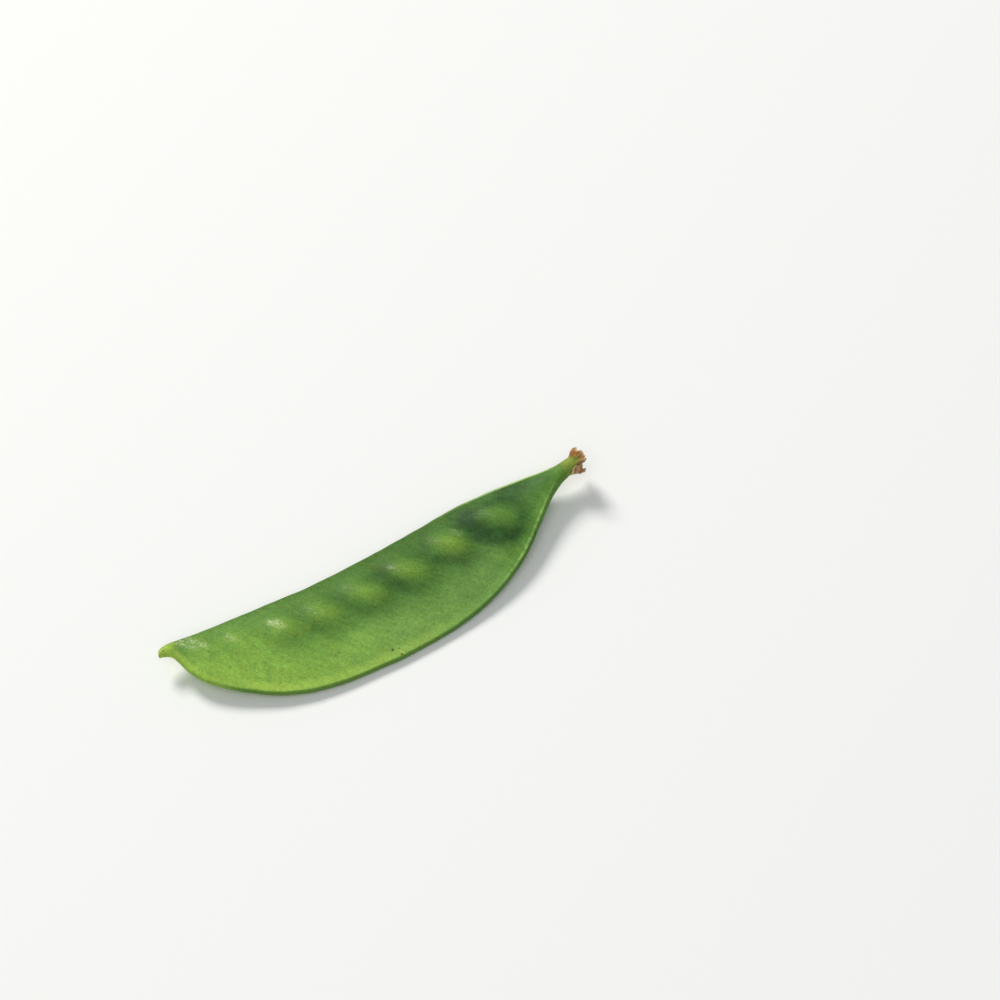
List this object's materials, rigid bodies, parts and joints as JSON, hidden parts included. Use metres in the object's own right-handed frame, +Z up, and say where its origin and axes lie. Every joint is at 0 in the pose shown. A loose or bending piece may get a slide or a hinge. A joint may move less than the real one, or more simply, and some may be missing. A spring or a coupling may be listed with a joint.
{
  "type": "snow pea pod",
  "caption": "Flat picked pea pod with a straight seam, a curved seam, low seed swellings, a short beak and a withered calyx, lying on its flat side.",
  "frame": {"origin": "under the middle of the object's box, on the surface the pod lies on", "axes": "+X from the beak to the stalk, +Y from the curved seam to the straight seam, +Z up from the surface"},
  "size_m": [0.0934, 0.0242, 0.0083],
  "materials": {
    "pod_skin": "waxy satin plant skin",
    "withered_calyx": "dry, papery",
    "stalk_stub": "dry, fibrous"
  },
  "bodies": {
    "root": {"pod": "pod_skin", "calyx": "withered_calyx", "stalk": "stalk_stub"}
  },
  "joints": []
}
